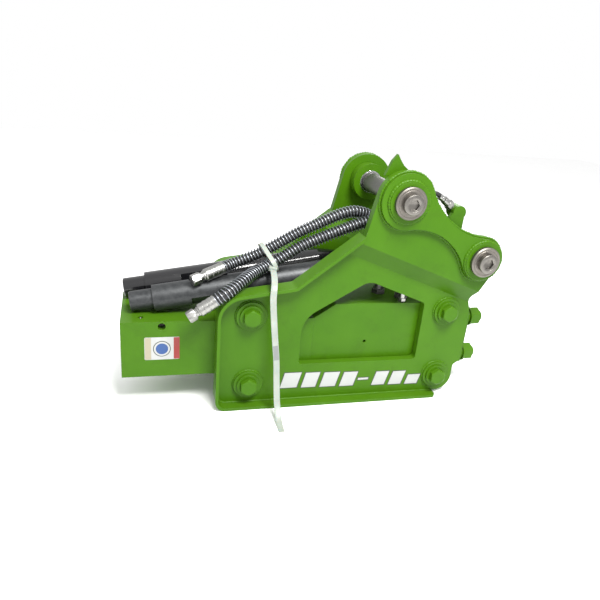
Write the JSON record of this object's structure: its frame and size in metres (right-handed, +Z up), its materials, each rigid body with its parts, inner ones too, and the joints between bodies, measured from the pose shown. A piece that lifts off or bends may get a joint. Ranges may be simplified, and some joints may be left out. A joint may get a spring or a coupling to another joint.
{
  "type": "hydraulic breaker hammer",
  "caption": "Side-plate hydraulic breaker hammer with arm pins, hoses and stowed chisels, lying on the lower edges of its plates.",
  "frame": {"origin": "on the ground under the middle of the hammer's length, in the plane midway between the two side plates", "axes": "+X from the tool end to the back head along the piston's axis, +Y across the plates, +Z up from the ground"},
  "size_m": [1, 0.4564, 0.666],
  "materials": {
    "green_paint": "apple-green gloss enamel, a little dusty, worn to steel at edges",
    "ground_steel": "ground and oiled",
    "dark_steel": "heat-treated, dark",
    "pin_steel": "turned, bare, slightly stained",
    "zinc_plate": "bright zinc plate",
    "guard_wire": "zinc-plated spring wire",
    "hose_rubber": "black hose cover",
    "seal_rubber": "black nitrile",
    "brass": "turned brass",
    "chisel_grey": "dark grey forged steel, satin",
    "chisel_black": "black gloss coating",
    "tie_plastic": "white nylon"
  },
  "bodies": {
    "hammer": {"front_head": "green_paint", "tool_bush": "ground_steel", "thrust_bush": "ground_steel", "dust_seal": "seal_rubber", "tool_pins": "dark_steel", "tool_pin_covers": "green_paint", "stop_pin_plug": "green_paint", "grease_nipple": "zinc_plate", "cylinder": "green_paint", "seal_carrier": "ground_steel", "piston_seals": "seal_rubber", "valve_plug": "dark_steel", "port_adapters": "dark_steel", "back_head": "green_paint", "gas_valve": "brass", "tie_rods": "dark_steel", "tie_rod_spacers": "green_paint", "tie_rod_washers": "green_paint", "tie_rod_nuts": "green_paint", "near_side_plate": "green_paint", "far_side_plate": "green_paint", "near_rim": "green_paint", "far_rim": "green_paint", "near_doubler": "green_paint", "far_doubler": "green_paint", "near_pin_bosses": "green_paint", "far_pin_bosses": "green_paint", "near_pin_bushes": "ground_steel", "far_pin_bushes": "ground_steel", "side_bolt_bosses": "green_paint", "side_bolts": "green_paint", "side_bolt_washers": "green_paint", "side_bolt_nuts": "green_paint", "plate_keys": "dark_steel", "hose_lug": "green_paint", "lube_fittings": "zinc_plate", "lube_line": "hose_rubber", "near_chisel": "chisel_grey", "port_hose": "hose_rubber", "port_hose_guard": "guard_wire", "port_hose_fittings": "zinc_plate", "return_hose": "hose_rubber", "return_hose_guard": "guard_wire", "return_hose_fittings": "zinc_plate", "tie_loop": "tie_plastic", "tie_strap": "tie_plastic"},
    "piston": {"piston": "ground_steel"},
    "valve_spool": {"valve_spool": "ground_steel"},
    "stop_pin": {"stop_pin": "dark_steel"},
    "upper_arm_pin": {"upper_pin": "dark_steel", "upper_pin_near_washer": "pin_steel", "upper_pin_near_screw": "pin_steel"},
    "lower_arm_pin": {"lower_pin": "dark_steel", "lower_pin_near_washer": "pin_steel", "lower_pin_near_screw": "pin_steel"},
    "upper_far_cap": {"upper_pin_far_washer": "pin_steel", "upper_pin_far_screw": "pin_steel"},
    "lower_far_cap": {"lower_pin_far_washer": "pin_steel", "lower_pin_far_screw": "pin_steel"},
    "far_chisel": {"far_chisel": "chisel_black"}
  },
  "joints": [
    {"name": "piston_stroke", "type": "slide", "parent": "hammer", "child": "piston", "axis": [1, 0, 0], "range_m": [0, 0.062], "stiffness_N_per_m": 4000, "springref_m": -0.06},
    {"name": "valve_shift", "type": "slide", "parent": "hammer", "child": "valve_spool", "axis": [1, 0, 0], "range_m": [-0.012, 0.012]},
    {"name": "stop_pin_out", "type": "slide", "parent": "hammer", "child": "stop_pin", "axis": [0, -1, 0], "range_m": [0, 0.19]},
    {"name": "upper_pin_out", "type": "slide", "parent": "hammer", "child": "upper_arm_pin", "axis": [0, -1, 0], "range_m": [0, 0.58]},
    {"name": "lower_pin_out", "type": "slide", "parent": "hammer", "child": "lower_arm_pin", "axis": [0, -1, 0], "range_m": [0, 0.58]},
    {"name": "upper_cap_out", "type": "slide", "parent": "hammer", "child": "upper_far_cap", "axis": [0, 1, 0], "range_m": [0, 0.06]},
    {"name": "lower_cap_out", "type": "slide", "parent": "hammer", "child": "lower_far_cap", "axis": [0, 1, 0], "range_m": [0, 0.06]},
    {"name": "far_chisel_out", "type": "slide", "parent": "hammer", "child": "far_chisel", "axis": [-1, 0, 0], "range_m": [0, 0.25]}
  ]
}
